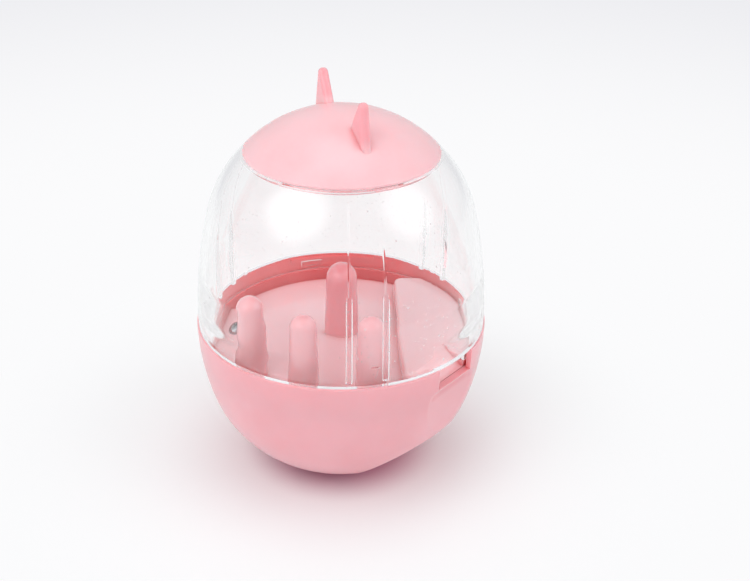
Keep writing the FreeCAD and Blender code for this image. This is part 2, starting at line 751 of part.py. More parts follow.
def make_lid():
    lid_inner_sphere = lid_crown_radius - lid_wall
    neck_inner = neck_radius - neck_wall
    neck_foot = lid_base - neck_depth
    centre = (0, crown_centre)
    edge_inner = leg(lid_inner_sphere, lid_base - crown_centre)
    cap = turned("lid_cap", [
        (edge_inner, lid_base), (lid_radius, lid_base, centre),
        (0, crown_centre + lid_crown_radius), (0, crown_centre + lid_inner_sphere, centre),
        (neck_inner, crown_centre + leg(lid_inner_sphere, neck_inner)),
        (neck_inner, neck_foot), (neck_radius, neck_foot),
        (neck_radius, crown_centre + leg(lid_inner_sphere, neck_radius), centre)])
    cap = rounded("lid_rounded", cap, lid_edge_round,
                  lambda edge: rim_edge(edge, lid_radius, lid_base))
    lugs = [
        ring_part(f"neck_lug_{i}", neck_radius - neck_wall / 2, mouth_radius - ring_gap,
                  dome_top - mouth_catch_drop - mouth_catch_height - ring_gap - neck_lug_height,
                  neck_lug_height, i * 360 / mouth_catch_count, neck_lug_span)
        for i in range(mouth_catch_count)
    ]
    lid = fuse("lid", cap, make_ear("ear_front", 1), make_ear("ear_back", -1), *lugs)
    return place(lid, angle=lid_turn)


pieces = [
    make_base_shell(),
    make_counterweight(),
    make_weight_cover(),
    make_screws("cover_screws", cover_screw_circle, cover_screw_turns, cover_top),
    make_inner_tray(),
    make_screws("tray_screws", tray_screw_circle, tray_screw_turns, tray_floor),
    make_clear_dome(),
    make_lid(),
]
doc.recompute()

for item in doc.Objects:
    if "Invalid" in item.State or "Error" in item.State:
        raise RuntimeError(f"{item.Name} failed: {item.State}")

os.makedirs("parts", exist_ok=True)
for piece in pieces:
    shape = piece.Shape
    if shape.isNull() or not shape.isValid():
        raise RuntimeError(f"{piece.Label} has no valid shape")
    shape.exportStep(f"parts/{piece.Label}.step")
    print(piece.Label, len(shape.Solids), "solids", round(shape.Volume / 1000, 2), "cm3")
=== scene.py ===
import math
import bmesh
import bpy
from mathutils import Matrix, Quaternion, Vector


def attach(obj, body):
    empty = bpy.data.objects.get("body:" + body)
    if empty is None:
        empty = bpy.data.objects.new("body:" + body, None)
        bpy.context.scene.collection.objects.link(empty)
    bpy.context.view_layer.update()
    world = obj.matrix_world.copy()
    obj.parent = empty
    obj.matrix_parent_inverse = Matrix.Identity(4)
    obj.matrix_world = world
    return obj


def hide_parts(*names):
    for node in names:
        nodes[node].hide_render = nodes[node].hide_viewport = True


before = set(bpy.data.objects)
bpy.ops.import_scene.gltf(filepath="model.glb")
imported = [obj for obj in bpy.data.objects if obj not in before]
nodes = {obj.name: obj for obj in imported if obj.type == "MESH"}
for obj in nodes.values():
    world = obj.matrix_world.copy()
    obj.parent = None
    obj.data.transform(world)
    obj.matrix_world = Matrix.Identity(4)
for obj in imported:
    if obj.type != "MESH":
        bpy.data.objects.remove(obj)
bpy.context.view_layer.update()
scene = bpy.context.scene
scene.view_settings.view_transform = "Standard"
print("frame loaded with", len(nodes), "parts")


# Camera: the photograph's place, aim, slight tilt and lens

camera = {
    "place": (-0.23984, -0.20340, 0.22461),
    "aim": (0.00903, -0.00612, 0.05542),
    "tilt": 1.08,
    "lens": 54.85,
    "sensor": 36.0,
    "near": 0.01,
    "far": 20.0,
}


def setCamera(values):
    data = bpy.data.cameras.new("camera")
    data.lens = values["lens"]
    data.sensor_width = values["sensor"]
    data.clip_start = values["near"]
    data.clip_end = values["far"]
    view = bpy.data.objects.new("camera", data)
    place = Vector(values["place"])
    aim = (Vector(values["aim"]) - place).to_track_quat("-Z", "Y")
    view.rotation_mode = "QUATERNION"
    view.location = place
    view.rotation_quaternion = aim @ Quaternion((0, 0, 1), math.radians(values["tilt"]))
    scene.collection.objects.link(view)
    scene.camera = view


setCamera(camera)
print("camera set")


# Nodes: a wired socket takes part in Python arithmetic

class Wire:
    def __init__(self, graph, socket):
        self.graph = graph
        self.socket = socket

    def calc(self, operation, *values):
        inputs = dict(enumerate((self, *values)))
        return self.graph.add("ShaderNodeMath", {"operation": operation}, inputs)

    def __add__(self, other):
        return self.calc("ADD", other)

    def __mul__(self, other):
        return self.calc("MULTIPLY", other)

    def __sub__(self, other):
        return self.calc("SUBTRACT", other)

    def __rsub__(self, other):
        return self.graph.add("ShaderNodeMath", {"operation": "SUBTRACT"}, {0: other, 1: self})

    def __truediv__(self, other):
        return self.calc("DIVIDE", other)

    def __pow__(self, other):
        return self.calc("POWER", other)

    __radd__ = __add__
    __rmul__ = __mul__

    def between(self, low, high):  # 0 below low, 1 above high, smooth in the middle
        inputs = {"Value": self, "From Min": low, "From Max": high}
        settings = {"interpolation_type": "SMOOTHSTEP"}
        return self.graph.add("ShaderNodeMapRange", settings, inputs)


class Graph:
    def __init__(self, tree):
        self.tree = tree
        self.tree.nodes.clear()

    def add(self, kind, settings=None, inputs=None, output=0):
        node = self.tree.nodes.new(kind)
        for name, value in (settings or {}).items():
            setattr(node, name, value)
        for name, value in (inputs or {}).items():
            for single in value if isinstance(value, list) else [value]:
                if isinstance(single, Wire):
                    self.tree.links.new(single.socket, node.inputs[name])
                else:
                    node.inputs[name].default_value = single
        return Wire(self, node.outputs[output]) if node.outputs else None


class Finish(Graph):
    def __init__(self, name):
        self.material = bpy.data.materials.new(name)
        self.material.use_nodes = True
        super().__init__(self.material.node_tree)
        self.place = self.add("ShaderNodeTexCoord", output="Object")

    def noise(self, scale, detail, stretch=(1, 1, 1), shift=0.0):
        spot = self.place
        if stretch != (1, 1, 1) or shift:
            inputs = {"Vector": spot, "Scale": stretch, "Location": (shift, shift, shift)}
            spot = self.add("ShaderNodeMapping", None, inputs)
        inputs = {"Vector": spot, "Scale": scale, "Detail": detail}
        return self.add("ShaderNodeTexNoise", None, inputs)

    # Small round spots in a share of the cells, each of its own size
    def specks(self, scale, share, shift=0.0, smallest=0.4, edge=(0.24, 0.12), fade=0.02):
        inputs = {"Vector": self.place, "Location": (shift, shift, shift)}
        cells = {"Vector": self.add("ShaderNodeMapping", None, inputs), "Scale": scale}
        near = self.add("ShaderNodeTexVoronoi", None, cells, output="Distance")
        pick = self.add("ShaderNodeTexVoronoi", None, cells, output="Color")
        chance = self.add("ShaderNodeSeparateColor", None, {"Color": pick}, output="Red")
        size = self.add("ShaderNodeSeparateColor", None, {"Color": pick}, output="Green")
        chosen = chance.between(1 - share, 1 + fade - share)
        return (near / (smallest + size)).between(*edge) * chosen

    # Sockets 0, 6 and 7 are the share and the two colours, and output 2 is their mix
    def blend(self, share, first, second):
        pair = [colour if isinstance(colour, Wire) else (*colour, 1) for colour in (first, second)]
        inputs = {0: share, 6: pair[0], 7: pair[1]}
        return self.add("ShaderNodeMix", {"data_type": "RGBA"}, inputs, output=2)

    def axis(self, name):
        return self.add("ShaderNodeSeparateXYZ", None, {"Vector": self.place}, output=name)

    def fromAxis(self):
        return (self.axis("X") ** 2 + self.axis("Y") ** 2) ** 0.5

    def fromOrigin(self):
        settings, inputs = {"operation": "LENGTH"}, {"Vector": self.place}
        return self.add("ShaderNodeVectorMath", settings, inputs, output="Value")

    def bump(self, height, strength, distance, below=None):
        inputs = {"Height": height, "Strength": strength, "Distance": distance}
        if below:
            inputs["Normal"] = below
        return self.add("ShaderNodeBump", None, inputs)

    def layer(self, share, first, second):
        return self.add("ShaderNodeMixShader", None, {0: share, 1: first, 2: second})

    def finish(self, shader):
        self.add("ShaderNodeOutputMaterial", None, {"Surface": shader})
        return self.material


def fromScreen(colour):  # a colour read off a screen, 0 to 255, as light
    shares = [value / 255 for value in colour]
    return tuple(s / 12.92 if s < 0.04045 else ((s + 0.055) / 1.055) ** 2.4 for s in shares)


# Pink moulded plastic: satin skin, slow flow marks and hairline scratches. Painted shade:
# it is coloured a deeper red where surfaces face each other closely, standing in for
# shade and for light bounced between its pink faces.

pinkPlastic = {
    "base": {"colour": (241, 174, 182), "deep": (237, 165, 173), "gloss": 0.36, "coatGloss": 0.22},
    "tray": {"colour": (254, 203, 208), "deep": (252, 195, 200), "gloss": 0.22, "coatGloss": 0.09},
    "lid": {"colour": (253, 202, 208), "deep": (252, 194, 200), "gloss": 0.36, "coatGloss": 0.15},
    "coat": 0.5,
    "bending": 1.49,
    "softness": 0.5,
    "depth": 0.003,
    "reach": (1.0, 0.30, 0.27),
    "flow": {"scale": 38.0, "detail": 3.0},
    "flowDeep": (0.35, 0.7),
    "flowRough": 0.10,
    "flowBump": (0.10, 0.0006),
    "grain": {"scale": 2600.0, "detail": 2.0},
    "grainRough": 0.05,
    "grainBump": (0.10, 0.00005),
    "scratches": {"scale": 300.0, "detail": 1.0, "stretch": (1, 0.06, 0.6), "shift": 3.1},
    "scratchesWhere": (0.5, 0.7),
    "crossScratches": {"scale": 300.0, "detail": 1.0, "stretch": (0.07, 1, 0.5), "shift": 7.7},
    "crossWhere": (0.55, 0.35),
    "scratchWidth": 0.004,
    "wornRough": 0.10,
    "wornBump": (0.12, 0.00003),
    # painted shade: the deeper red of close-facing surfaces, and how far and how strongly it
    # reaches
    "hollow": {"colour": (218, 60, 63), "reach": 0.0035, "samples": 8, "open": (0.92, 0.35),
               "share": 0.5},
    # painted shade: a deeper red on the inner face of the base's rim and on the tray's outer wall
    "rimWall": {"edges": (0.0444, 0.0434), "low": 0.038, "high": 0.040},
    "dishWall": {"edges": (0.0400, 0.0412), "low": 0.047, "high": 0.0445},
    "outlet": {"inner": 0.0080, "outer": 0.0095, "near": -0.036, "far": -0.040, "share": 0.75},
    # painted shade: the posts a darker pink, the middle post darker still
    "posts": {"low": 0.0403, "high": 0.0412, "colour": (244, 180, 186), "reach": 0.0398,
              "side": -0.0144, "middle": 0.0062, "middleColour": (243, 158, 165),
              "edge": 0.0003, "sideEdge": 0.0004},
    # painted light: a deeper pink on the ears, for light passing through their thin plastic
    "ears": {"centre": 0.0749, "low": 0.0412, "high": 0.0440, "colour": (249, 172, 180)},
}


def outsideOutlet(graph, sizes):  # painted shade is lighter beside the outlet, where light comes in
    middle = graph.axis("X").calc("ABSOLUTE").between(sizes["outer"], sizes["inner"])
    return 1 - middle * graph.axis("Y").between(sizes["near"], sizes["far"]) * sizes["share"]


def wallShadeMask(graph, wall, outlet):  # painted shade mask: one side of a radius and one side of a height
    height = graph.axis("Z").between(wall["low"], wall["high"])
    return graph.fromAxis().between(*wall["edges"]) * height * outsideOutlet(graph, outlet)


def paintShadeOnBase(graph, colour, values):  # painted shade on the inner face of its rim
    wall = wallShadeMask(graph, values["rimWall"], values["outlet"])
    return graph.blend(wall, colour, fromScreen(values["hollow"]["colour"]))


def paintShadeOnTray(graph, colour, values):  # painted shade on its outer wall, and on all that stands up except the step
    wall = wallShadeMask(graph, values["dishWall"], values["outlet"])
    colour = graph.blend(wall, colour, fromScreen(values["hollow"]["colour"]))
    # painted shade on the posts: darker pink, the middle post darker still
    posts, reach = values["posts"], graph.fromAxis()
    edge, sideEdge = posts["edge"], posts["sideEdge"]
    middle = reach.between(posts["middle"] + edge, posts["middle"] - edge)
    side = graph.axis("X").between(posts["side"] + sideEdge, posts["side"] - sideEdge)
    side = side * reach.between(posts["reach"] + edge, posts["reach"] - edge)
    paintedLightAndShade = graph.blend(middle, fromScreen(posts["colour"]), fromScreen(posts["middleColour"]))
    raised = graph.axis("Z").between(posts["low"], posts["high"])
    return graph.blend(raised * middle.calc("MAXIMUM", side), colour, paintedLightAndShade)


def paintLightOnLid(graph, colour, values):  # painted light: the ears, above its round top, a deeper pink for light through thin plastic
    ears = values["ears"]
    rise = graph.axis("Z") - ears["centre"]
    away = (graph.fromAxis() ** 2 + rise ** 2) ** 0.5
    return graph.blend(away.between(ears["low"], ears["high"]), colour, fromScreen(ears["colour"]))


def hairlines(graph, lines, flow, where, width):
    off = (graph.noise(**lines) - 0.5).calc("ABSOLUTE").between(0.0, width)
    return (1 - off) * flow.between(*where)


def makePinkPlastic(name, colours, paintedLightAndShade, values):
    graph = Finish(name)
    flow = graph.noise(**values["flow"])
    grain = graph.noise(**values["grain"])
    width = values["scratchWidth"]
    worn = hairlines(graph, values["scratches"], flow, values["scratchesWhere"], width)
    worn = worn + hairlines(graph, values["crossScratches"], flow, values["crossWhere"], width)
    colour = graph.blend(flow.between(*values["flowDeep"]), fromScreen(colours["colour"]),
                         fromScreen(colours["deep"]))
    # painted light and shade for this part: its inner walls, posts or ears
    colour = paintedLightAndShade(graph, colour, values)
    # painted shade: ambient occlusion turns close-facing surfaces a deeper red
    hollow = values["hollow"]
    settings = {"only_local": True, "samples": hollow["samples"]}
    openness = graph.add("ShaderNodeAmbientOcclusion", settings, {"Distance": hollow["reach"]},
                         output="AO")
    colour = graph.blend(openness.between(*hollow["open"]) * hollow["share"], colour,
                         fromScreen(hollow["colour"]))
    waves = graph.bump(flow, *values["flowBump"])
    skin = graph.bump(grain, *values["grainBump"], waves)
    inputs = {
        "Base Color": colour,
        "Roughness": (colours["gloss"] + (flow - 0.5) * values["flowRough"]
                      + (grain - 0.5) * values["grainRough"] + worn * values["wornRough"]),
        "Normal": graph.bump(1 - worn, *values["wornBump"], skin),
        "IOR": values["bending"],
        "Coat Weight": values["coat"],
        "Coat Roughness": colours["coatGloss"],
        "Subsurface Weight": values["softness"],
        "Subsurface Radius": values["reach"],
        "Subsurface Scale": values["depth"],
    }
    return graph.finish(graph.add("ShaderNodeBsdfPrincipled", None, inputs))


# Clear moulded plastic: polished and bending light, with a faint film, crumbs and dust.
# Lamps, and light that has already touched a dull surface, go straight through. Rays that
# have bounced more than a few times get an even grey painted glow instead.

clearPlastic = {
    "straight": (255, 255, 255),
    "bent": (254, 254, 254),
    "bending": 1.49,
    "rough": 0.04,
    # painted glow: an even grey light given to rays past this depth
    "paintedGlow": (0.84, 0.84, 0.85),
    "paintedGlowAfter": 4.5,
    "smear": {"scale": 24.0, "detail": 3.0, "stretch": (1, 1, 0.5)},
    "smearRough": (0.5, 0.9),
    "smearFilm": (0.25, 0.8),
    "film": 0.008,
    "filmColour": (0.92, 0.92, 0.92),
    "patch": {"scale": 16.0, "detail": 2.0, "shift": 2.3},
    "patchDust": (0.40, 0.72),
    "dust": 0.02,
    "dustLow": 0.056,
    "dustHigh": 0.088,
    "crumbs": {"scale": 620.0, "share": 0.08},
    "patchCrumbs": (0.46, 0.66),
    "fineCrumbs": {"scale": 1426.0, "share": 0.12, "shift": 4.1},
    "patchFine": (0.40, 0.6),
    "crumbShare": 0.75,
}


def makeClearPlastic(name, values):
    graph = Finish(name)
    smear = graph.noise(**values["smear"])
    patch = graph.noise(**values["patch"])
    low = graph.axis("Z").between(values["dustHigh"], values["dustLow"])
    crumbs = graph.specks(**values["crumbs"]) * patch.between(*values["patchCrumbs"])
    fine = graph.specks(**values["fineCrumbs"]) * patch.between(*values["patchFine"])
    dusty = low * patch.between(*values["patchDust"]) * values["dust"]
    haze = values["film"] * smear.between(*values["smearFilm"]) + dusty
    spots = (crumbs + fine).calc("MINIMUM", 1.0) * low * values["crumbShare"]
    lamp = graph.add("ShaderNodeLightPath", output="Is Shadow Ray")
    spent = graph.add("ShaderNodeLightPath", output="Diffuse Depth").calc("GREATER_THAN", 0.5)
    depth = graph.add("ShaderNodeLightPath", output="Ray Depth")
    deep = depth.calc("GREATER_THAN", values["paintedGlowAfter"])
    glass = graph.add("ShaderNodeBsdfPrincipled", None, {
        "Base Color": (*fromScreen(values["bent"]), 1),
        "Roughness": smear.between(*values["smearRough"]) * values["rough"],
        "IOR": values["bending"],
        "Transmission Weight": 1.0,
    })
    # painted glow: an emission standing in for light carried along the plastic
    paintedGlow = graph.add("ShaderNodeEmission", None, {"Color": (*values["paintedGlow"], 1)})
    clear = graph.add("ShaderNodeBsdfTransparent", None, {
        "Color": (*fromScreen(values["straight"]), 1)})
    film = graph.add("ShaderNodeBsdfDiffuse", None, {"Color": (*values["filmColour"], 1)})
    skin = graph.layer(lamp.calc("MAXIMUM", spent), graph.layer(deep, glass, paintedGlow), clear)
    return graph.finish(graph.layer(haze + spots, skin, film))


# Turned steel and zinc plating

steel = {
    "weight": {"colour": (150, 150, 154), "gloss": 0.34, "rings": 7000.0},
    "screw": {"colour": (186, 186, 190), "gloss": 0.26, "rings": 0.0},
    "grain": {"scale": 1400.0, "detail": 3.0},
    "grainBump": (0.2, 0.00004),
    "ringBump": (0.3, 0.00003),
    "cloud": {"scale": 90.0, "detail": 3.0},
    "cloudDark": (0.3, 0.7),
    "cloudRough": 0.2,
    "dark": 0.82,
}


def makeSteel(name, kind, values):
    graph = Finish(name)
    grain = graph.noise(**values["grain"])
    cloud = graph.noise(**values["cloud"])
    bright = fromScreen(kind["colour"])
    colour = graph.blend(cloud.between(*values["cloudDark"]), bright,
                         tuple(values["dark"] * share for share in bright))
    skin = graph.bump(grain, *values["grainBump"])
    if kind["rings"]:
        rings = (graph.fromAxis() * kind["rings"]).calc("SINE")
        skin = graph.bump(rings, *values["ringBump"], skin)
    inputs = {
        "Base Color": colour,
        "Metallic": 1.0,
        "Roughness": kind["gloss"] + (cloud - 0.5) * values["cloudRough"],
        "Normal": skin,
    }
    return graph.finish(graph.add("ShaderNodeBsdfPrincipled", None, inputs))


finishes = {
    "base_shell": makePinkPlastic("basePlastic", pinkPlastic["base"], paintShadeOnBase, pinkPlastic),
    "inner_tray": makePinkPlastic("trayPlastic", pinkPlastic["tray"], paintShadeOnTray, pinkPlastic),
    "lid": makePinkPlastic("lidPlastic", pinkPlastic["lid"], paintLightOnLid, pinkPlastic),
    "counterweight": makeSteel("weightSteel", steel["weight"], steel),
}
finishes["weight_cover"] = finishes["inner_tray"]
for part, finish in finishes.items():
    nodes[part].data.materials.clear()
    nodes[part].data.materials.append(finish)
screwFinish = makeSteel("screwSteel", steel["screw"], steel)
domeFinish = makeClearPlastic("clearPlastic", clearPlastic)
print("finishes made")


def closeMesh(form, mesh, sharp):
    bmesh.ops.recalc_face_normals(form, faces=form.faces[:])
    form.to_mesh(mesh)
    form.free()
    mesh.shade_smooth()
    mesh.set_sharp_from_angle(angle=math.radians(sharp))


# Clear dome: one turned shell, pushed in or out where its ribs, pointer, lugs and
# catches stand. Sizes are in millimetres, and angles in degrees from the outlet.

dome = {
    "foot": 49.25,
    "wall": 2.1,
    "spigot": {"inner": 41.25, "outer": 42.35, "low": 44.15},
    "band": {"radius": 41.5, "low": 53.0, "high": 58.0, "rows": 10, "top": 66.32, "above": 7,
             "below": (52.0, 51.0)},
    "flank": {"across": -105.4, "up": 49.15, "radius": 150.0, "start": 0.04, "rows": 26},
    "shoulder": {"across": 5.5048, "up": 76.8017, "radius": 35.7, "start": 14.0, "rows": 22},
    "top": {"outer": 29.8, "mouth": 26.0, "height": 102.96},
    "collar": {"radius": 27.8, "low": 100.96},
    "ribs": {"angles": (73.25, 87.75, 193.25, 207.75, 313.25, 327.75), "half": 0.9,
             "radius": 39.95, "low": 49.65, "high": 76.15, "round": 0.45,
             "roundTurns": (0, 25, 50, 70, 90)},
    "ridge": {"height": 0.09, "half": 0.4, "steps": (0.25, 0.5, 0.75, 1), "top": 99.65},
    "pointer": {"angle": 322.5, "half": 1.1, "radius": 44.9, "low": 52.45, "high": 55.85,
                "tip": 0.02, "steps": (0, 0.25, 0.5, 0.75), "sides": (-1.04, -1, 0, 1, 1.04)},
    "lugs": {"edges": ((50, 60), (140, 150), (230, 240), (320, 330)), "radius": 42.95,
             "low": 45.2, "high": 46.7},
    "catches": {"edges": ((30, 90), (150, 210), (270, 330)), "radius": 25.1,
                "low": 101.26, "high": 102.36},
    "window": 8.25,
    "spacing": 1.5,
    "step": 0.02,
    "middle": {"radius": 40.0, "height": 60.0},
    "weld": 1e-6,
    "sharp": 38,
}


def paired(levels, step):  # a row just below and just above each level
    return [level + side * step for level in levels for side in (-1, 1)]


def arcRows(arc, inset, low, high, skin, breaks=()):
    radius = arc["radius"] - inset
    spots = [low + (high - low) * i / arc["rows"] for i in range(arc["rows"] + 1)]
    spots += [math.degrees(math.asin((level - arc["up"]) / radius)) for level in breaks]
    turns = [math.radians(spot) for spot in sorted(spots, reverse=high < low)]
    return [(arc["across"] + radius * math.cos(turn), arc["up"] + radius * math.sin(turn), skin)
            for turn in turns]


def arcAngle(arc, inset, radius):
    return math.degrees(math.acos((radius - arc["across"]) / (arc["radius"] - inset)))


def outerRows(values):
    flank, shoulder, pointer = values["flank"], values["shoulder"], values["pointer"]
    rise = pointer["high"] - pointer["low"]
    marks = [pointer["low"] + rise * share for share in pointer["steps"]]
    marks += paired([pointer["high"]], values["step"])
    high = arcAngle(shoulder, 0, values["top"]["outer"])
    rows = arcRows(flank, 0, flank["start"], shoulder["start"], "outside", marks)
    return rows + arcRows(shoulder, 0, shoulder["start"], high, "outside")[1:]


def mouthRows(values):
    top, collar, catches = values["top"], values["collar"], values["catches"]
    levels = paired([catches["low"], catches["high"]], values["step"])
    levels = sorted([*levels, top["height"], collar["low"]], reverse=True)
    rows = [(top["mouth"], level, "mouth") for level in levels]
    return rows + [(collar["radius"], collar["low"], "collar")]


def innerRows(values):
    flank, shoulder, wall = values["flank"], values["shoulder"], values["wall"]
    ribs, band, step = values["ribs"], values["band"], values["step"]
    inner, start = values["spigot"]["inner"], shoulder["start"]
    high = arcAngle(shoulder, wall, values["collar"]["radius"])
    low = arcAngle(flank, wall, band["radius"])
    rows = arcRows(shoulder, wall, high, start, "inside", paired([values["ridge"]["top"]], step))
    rows += arcRows(flank, wall, start, low, "inside", paired([ribs["high"]], step))[1:]
    gap, count = (band["top"] - band["high"]) / band["above"], band["above"]
    rows += [(band["radius"], band["top"] - gap * i, "inside") for i in range(1, count + 1)]
    for i in range(1, band["rows"] + 1):
        share = i / band["rows"]
        soft = share * share * (3 - 2 * share)
        rows.append((band["radius"] + (inner - band["radius"]) * soft,
                     band["high"] + (band["low"] - band["high"]) * share, "inside"))
    levels = (*band["below"], ribs["low"] + step, ribs["low"] - step, values["foot"])
    return rows + [(inner, level, "inside") for level in levels]


def spigotRows(values):
    spigot, lugs = values["spigot"], values["lugs"]
    levels = (spigot["low"], *paired([lugs["low"], lugs["high"]], values["step"]), values["foot"])
    rows = [(spigot["inner"], spigot["low"], "spigot")]
    return rows + [(spigot["outer"], level, "spigot") for level in levels]


def domeColumns(values):  # each is a centre angle, an offset sideways and a kind
    step, ribs, ridge, pointer = (values[key] for key in ("step", "ribs", "ridge", "pointer"))
    offsets = [ridge["half"] * share for share in ridge["steps"]]
    offsets += [ribs["half"] - ribs["round"] + ribs["round"] * math.sin(math.radians(turn))
                for turn in ribs["roundTurns"]]
    offsets += [ribs["half"] + step]
    columns = []
    for centre in ribs["angles"]:
        for offset in (*(-offset for offset in offsets[::-1]), 0.0, *offsets):
            columns.append((centre, offset, "rib"))
    for centre, side in ((0, 1), (360, -1)):
        for offset in (values["window"] - step, values["window"] + step):
            columns.append((centre, side * offset, "bar"))
    edges = {edge for key in ("lugs", "catches") for pair in values[key]["edges"] for edge in pair}
    columns += [(edge + side * step, 0.0, "bar") for edge in edges for side in (-1, 1)]
    columns += [(pointer["angle"], side, "pointer") for side in pointer["sides"]]
    columns += [(0, 0.0, "bar")]
    return sorted(columns, key=lambda column: middleAngle(column, values))


def columnAngle(column, radius, height, values):
    centre, offset, kind = column
    if kind == "pointer":
        pointer = values["pointer"]
        share = (height - pointer["low"]) / (pointer["high"] - pointer["low"])
        half = pointer["half"] * min(max(share, pointer["tip"]), 1)
        return centre + math.degrees(half * offset / pointer["radius"])
    return centre + math.degrees(math.asin(offset / radius))


def middleAngle(column, values):  # half way up, where the columns are put in order
    return columnAngle(column, values["middle"]["radius"], values["middle"]["height"], values)


def withinAny(edges, angle):
    return any(low < angle < high for low, high in edges)


def pressRib(radius, height, offset, values):  # the rib, or the low ridge that goes on above it
    ribs, ridge, flank, shoulder = (values[key] for key in ("ribs", "ridge", "flank", "shoulder"))
    if ribs["low"] < height < ribs["high"]:
        past = max(abs(offset) - ribs["half"] + ribs["round"], 0)
        soft = ribs["round"] - math.sqrt(max(ribs["round"] ** 2 - past ** 2, 0))
        return min(radius, max(ribs["radius"], ribs["radius"] + soft)), height
    if not ribs["high"] < height < ridge["top"]:
        return radius, height
    turn = math.radians(shoulder["start"])
    bend = flank["across"] + (flank["radius"] - values["wall"]) * math.cos(turn)
    arc = shoulder if radius < bend else flank
    away = Vector((radius - arc["across"], height - arc["up"])).normalized()
    share = min(abs(offset) / ridge["half"], 1)
    push = ridge["height"] * (1 - share * share) ** 2
    return radius - away.x * push, height - away.y * push


def pressSpigot(radius, height, angle, values):  # its lugs, and the window over the outlet
    lugs = values["lugs"]
    if radius > values["spigot"]["inner"] and lugs["low"] < height < lugs["high"]:
        radius = lugs["radius"] if withinAny(lugs["edges"], angle) else radius
    across = radius * math.sin(math.radians(angle))
    if abs(across) < values["window"] and not 90 < angle < 270:
        height = values["foot"]
    return radius, height


def domePoint(row, angle, column, values):
    radius, height, skin = row
    centre, offset, kind = column
    pointer, catches = values["pointer"], values["catches"]
    if (skin, kind) == ("inside", "rib") and abs(offset) <= values["ribs"]["half"]:
        return pressRib(radius, height, offset, values)
    if skin == "spigot":
        return pressSpigot(radius, height, angle, values)
    if (skin, kind) == ("outside", "pointer") and abs(offset) <= 1:
        radius = pointer["radius"] if pointer["low"] <= height < pointer["high"] else radius
    if skin == "mouth" and catches["low"] < height < catches["high"]:
        radius = catches["radius"] if withinAny(catches["edges"], angle) else radius
    return radius, height


def domeRing(form, row, columns, counts, values):
    angles = [columnAngle(column, row[0], row[1], values) for column in columns]
    ring = []
    for i, column in enumerate(columns):
        gap = (angles[(i + 1) % len(columns)] - angles[i]) % 360
        for j in range(counts[i]):
            angle = angles[i] + gap * j / counts[i]
            kept = column if j == 0 else (angle, 0.0, "fill")
            radius, height = domePoint(row, angle, kept, values)
            turn = math.radians(angle)
            ring.append(form.verts.new((radius * math.sin(turn) / 1000,
                                        -radius * math.cos(turn) / 1000, height / 1000)))
    return ring


def makeDome(name, node, values, finish):
    columns = domeColumns(values)
    counts = []
    for i, column in enumerate(columns):
        following = columns[(i + 1) % len(columns)]
        gap = middleAngle(following, values) - middleAngle(column, values)
        counts.append(max(1, math.ceil(gap % 360 / values["spacing"])))
    form = bmesh.new()
    rows = outerRows(values) + mouthRows(values) + innerRows(values) + spigotRows(values)
    rings = [domeRing(form, row, columns, counts, values) for row in rows]
    for low, high in zip(rings, rings[1:] + rings[:1]):
        for i in range(len(low)):
            form.faces.new((low[i - 1], low[i], high[i], high[i - 1]))
    bmesh.ops.remove_doubles(form, verts=form.verts[:], dist=values["weld"])
    bmesh.ops.dissolve_degenerate(form, dist=values["weld"], edges=form.edges[:])
    mesh = bpy.data.meshes.new(name)
    closeMesh(form, mesh, values["sharp"])
    mesh.materials.append(finish)
    piece = bpy.data.objects.new(name, mesh)
    scene.collection.objects.link(piece)
    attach(piece, "dome")
    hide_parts(node)
    print(name, "has", len(mesh.polygons), "faces")


makeDome("clearDome", "clear_dome", dome, domeFinish)


# Screws: a lathed pan head with a cross recess on a threaded shank, made once
# as a node tree and set on each seat

screw = {
    "sizes": {
        "Head Radius": 0.0023,
        "Head Height": 0.0014,
        "Recess Length": 0.0029,
        "Recess Width": 0.0006,
        "Recess Depth": 0.0008,
        "Shank Radius": 0.0012,
        "Shank Length": 0.0080,
        "Thread Depth": 0.0003,
        "Thread Pitch": 0.0009,
    },
    "tray": {"reach": 0.0355, "seat": 0.04015, "bearings": (-51.85, 130.0, 220.0)},
    "cover": {"reach": 0.02777, "seat": 0.02230, "bearings": (60.0, 180.0, 300.0)},
    "head": {"around": 41, "along": 25, "flat": 0.2, "side": 0.5, "crown": 0.8},
    "shank": {"around": 25, "along": 90, "inHead": 0.4, "point": 6.0, "end": 400.0},
    "arm": {"sides": 4, "high": 0.62, "low": 0.42, "deeper": 1.6},
    "turn": {"first": 0.3, "each": 0.7},
    "sharp": 38,
}


